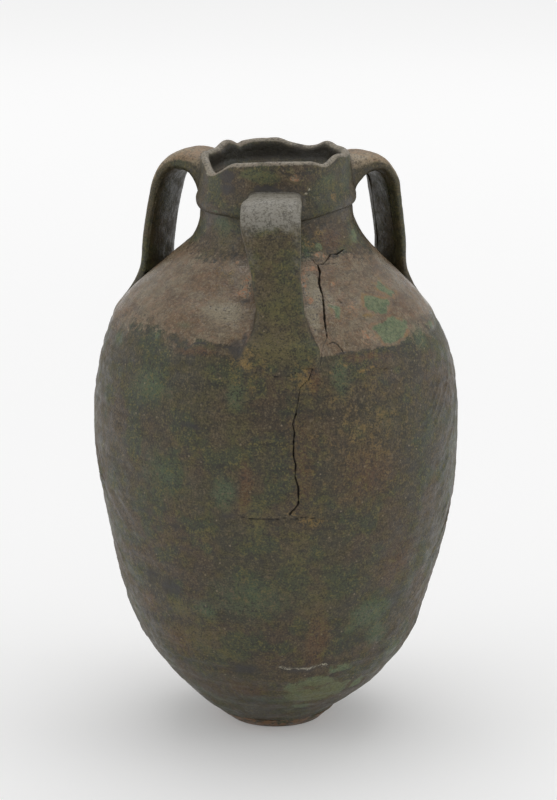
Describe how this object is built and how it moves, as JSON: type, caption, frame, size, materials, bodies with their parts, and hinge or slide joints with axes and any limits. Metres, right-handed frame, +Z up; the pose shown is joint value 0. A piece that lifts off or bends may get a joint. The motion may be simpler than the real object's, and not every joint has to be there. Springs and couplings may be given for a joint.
{
  "type": "storage jar",
  "caption": "Tall glazed earthenware storage jar with a collared mouth and strap handles from collar to shoulder.",
  "frame": {"origin": "centre of the flat underside of the foot", "axes": "+Z up the jar's axis; the front handle is toward -Y"},
  "size_m": [0.3638, 0.3642, 0.5843],
  "materials": {
    "body_glaze": "satin",
    "shoulder_glaze": "satin",
    "collar_glaze": "satin",
    "handle_glaze": "satin",
    "bare_clay": "matte"
  },
  "bodies": {
    "root": {"foot_disc": "bare_clay", "lower_wall": "body_glaze", "belly_wall": "body_glaze", "upper_wall": "body_glaze", "shoulder": "shoulder_glaze", "neck": "shoulder_glaze", "rim_collar": "collar_glaze", "front_handle": "handle_glaze", "right_handle": "handle_glaze", "left_handle": "handle_glaze"}
  },
  "joints": []
}
